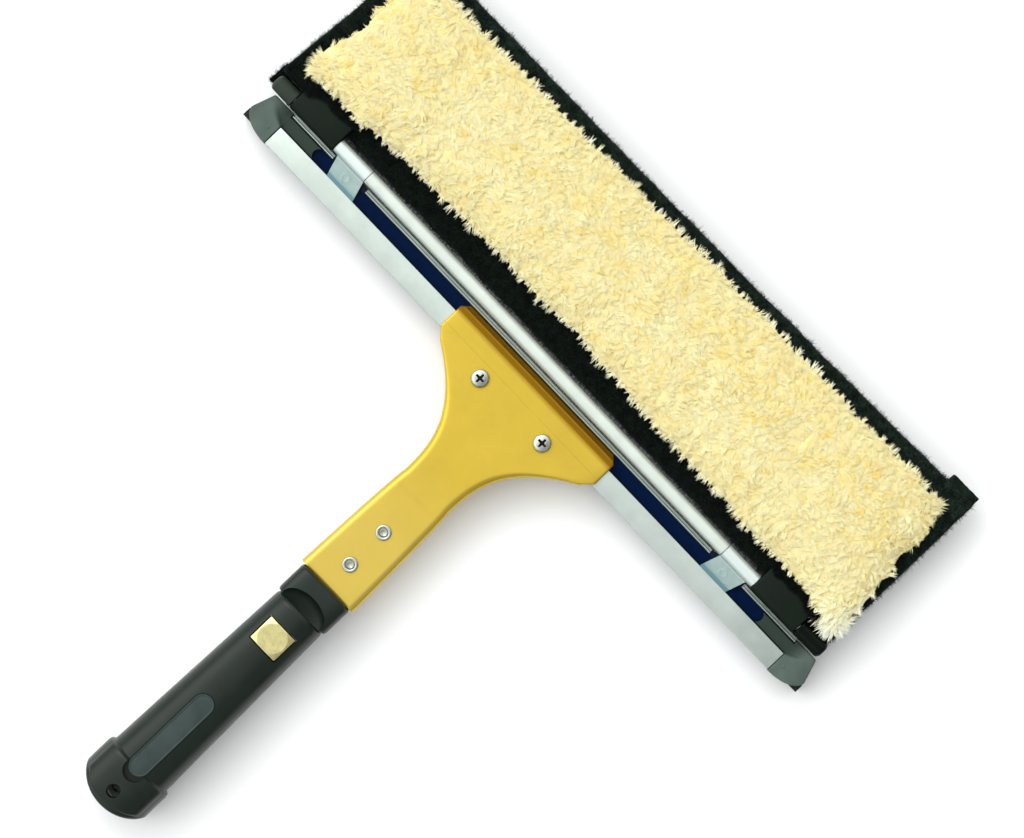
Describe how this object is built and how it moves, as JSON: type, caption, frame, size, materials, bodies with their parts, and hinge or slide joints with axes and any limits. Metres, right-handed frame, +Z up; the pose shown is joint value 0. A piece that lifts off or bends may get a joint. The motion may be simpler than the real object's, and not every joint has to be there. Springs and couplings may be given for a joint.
{
  "type": "window squeegee with flip-over washer",
  "caption": "Window squeegee on a gold bracket and black grip, with a shaggy yellow washing pad hinged in front of its channel.",
  "frame": {"origin": "middle of the rubber blade's wiping edge, on the plane that the tool lies on", "axes": "+X along the blade, +Y towards the washer and away from the grip, +Z up, out of the pile"},
  "size_m": [0.3568, 0.3744, 0.0338],
  "materials": {
    "aluminium": "satin extruded aluminium",
    "navy_strip": "smooth navy",
    "grey_plastic": "satin moulded",
    "rubber": "matte rubber",
    "zinc_plate": "bright zinc plate",
    "steel": "plain steel",
    "black_nylon": "fine matte moulding",
    "board": "plain board",
    "nickel": "nickel plate",
    "black_fabric": "short fuzzy weave",
    "yellow_pile": "long shaggy pile",
    "gold_lacquer": "gold lacquer, satin",
    "inlay_grey": "matte",
    "brass": "satin brass"
  },
  "bodies": {
    "handle": {"upper_shell": "gold_lacquer", "lower_shell": "gold_lacquer", "clamp_screw_left": "nickel", "clamp_screw_right": "nickel", "clamp_nut_left": "steel", "clamp_nut_right": "steel", "tube_rivet_front": "nickel", "tube_rivet_rear": "nickel", "grip": "black_nylon", "grip_inlay": "inlay_grey", "button_pin": "steel", "button_spring": "steel"},
    "button": {"release_button": "brass"},
    "squeegee": {"channel": "aluminium", "recess_strip": "navy_strip", "end_plug_left": "grey_plastic", "end_plug_right": "grey_plastic", "rubber_blade": "rubber", "clip_left": "zinc_plate", "clip_right": "zinc_plate"},
    "washer": {"hinge_tube": "aluminium", "pivot_pin": "steel", "pivot_block_left": "black_nylon", "pivot_block_right": "black_nylon", "pin_cap_left": "black_nylon", "pin_cap_right": "black_nylon", "pad_board": "board", "board_rivet_1": "nickel", "board_rivet_2": "nickel", "board_rivet_3": "nickel", "board_rivet_4": "nickel", "sleeve": "black_fabric", "pile": "yellow_pile"}
  },
  "joints": [
    {"name": "channel_slide", "type": "slide", "parent": "handle", "child": "squeegee", "axis": [1, 0, 0], "range_m": [-0.05, 0.05]},
    {"name": "pad_flip", "type": "hinge", "parent": "squeegee", "child": "washer", "pos_m": [-0.0042, 0.019, 0.0186], "axis": [1, 0, 0], "range_deg": [0, 110]},
    {"name": "release_press", "type": "slide", "parent": "handle", "child": "button", "axis": [0, 0, -1], "range_m": [0, 0.003], "stiffness_N_per_m": 400, "springref_m": -0.003, "deforming": ["button_spring"]}
  ]
}
